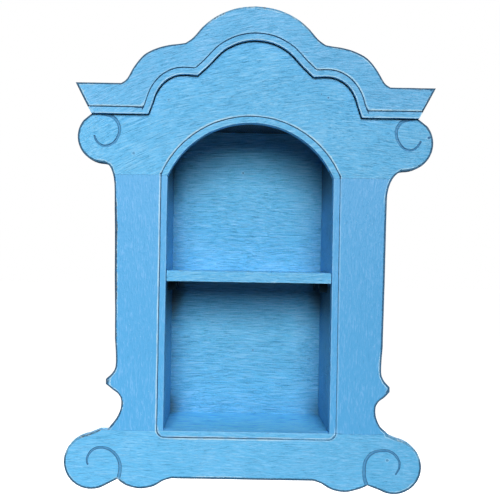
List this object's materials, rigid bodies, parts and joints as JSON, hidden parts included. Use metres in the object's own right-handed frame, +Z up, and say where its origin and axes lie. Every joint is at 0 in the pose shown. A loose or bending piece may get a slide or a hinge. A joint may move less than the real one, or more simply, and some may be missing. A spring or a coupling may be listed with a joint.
{
  "type": "wall cupboard",
  "caption": "Open wall cupboard: a shallow box behind a carved face frame with an arched opening, scrolled corners, an applied cornice and a loose shelf.",
  "frame": {"origin": "on the wall plane, in the rear face of the back panel, on the niche's centre line and half way up the front", "axes": "+Z up, +Y into the wall, the front faces -Y, +X to the right of someone who looks at the front"},
  "size_m": [0.6739, 0.1856, 0.8946],
  "materials": {
    "blue_paint": "brushed sky-blue paint, satin, worn at the edges",
    "bare_wood": "planed, unpainted",
    "steel": "zinc grey"
  },
  "bodies": {
    "cupboard": {"back_panel": "blue_paint", "bottom_rail": "blue_paint", "cornice_board": "blue_paint", "crest_board": "blue_paint", "dowel_left_bottom_inner": "bare_wood", "dowel_left_bottom_outer": "bare_wood", "dowel_left_top_inner": "bare_wood", "dowel_left_top_outer": "bare_wood", "dowel_right_bottom_inner": "bare_wood", "dowel_right_bottom_outer": "bare_wood", "dowel_right_top_inner": "bare_wood", "dowel_right_top_outer": "bare_wood", "floor_board": "blue_paint", "glue_block_bottom": "bare_wood", "glue_block_left_lower": "bare_wood", "glue_block_left_upper": "bare_wood", "glue_block_right_lower": "bare_wood", "glue_block_right_upper": "bare_wood", "glue_block_top": "bare_wood", "hanger_left": "steel", "hanger_right": "steel", "left_bearer": "blue_paint", "left_side": "blue_paint", "left_stile": "blue_paint", "nail_floor_left": "steel", "nail_floor_right": "steel", "nail_left_lower": "steel", "nail_left_middle": "steel", "nail_left_upper": "steel", "nail_right_lower": "steel", "nail_right_middle": "steel", "nail_right_upper": "steel", "right_bearer": "blue_paint", "right_side": "blue_paint", "right_stile": "blue_paint", "screw_cornice_left": "steel", "screw_cornice_middle": "steel", "screw_cornice_right": "steel", "screw_hanger_left_inner": "steel", "screw_hanger_left_outer": "steel", "screw_hanger_right_inner": "steel", "screw_hanger_right_outer": "steel", "screw_left_bearer_front": "steel", "screw_left_bearer_rear": "steel", "screw_left_floor_front": "steel", "screw_left_floor_rear": "steel", "screw_left_top_front": "steel", "screw_left_top_rear": "steel", "screw_right_bearer_front": "steel", "screw_right_bearer_rear": "steel", "screw_right_floor_front": "steel", "screw_right_floor_rear": "steel", "screw_right_top_front": "steel", "screw_right_top_rear": "steel", "top_board": "blue_paint"},
    "shelf": {"shelf": "blue_paint"}
  },
  "joints": [
    {"name": "shelf_slide", "type": "slide", "parent": "cupboard", "child": "shelf", "axis": [0, -1, 0], "range_m": [0, 0.165]}
  ]
}
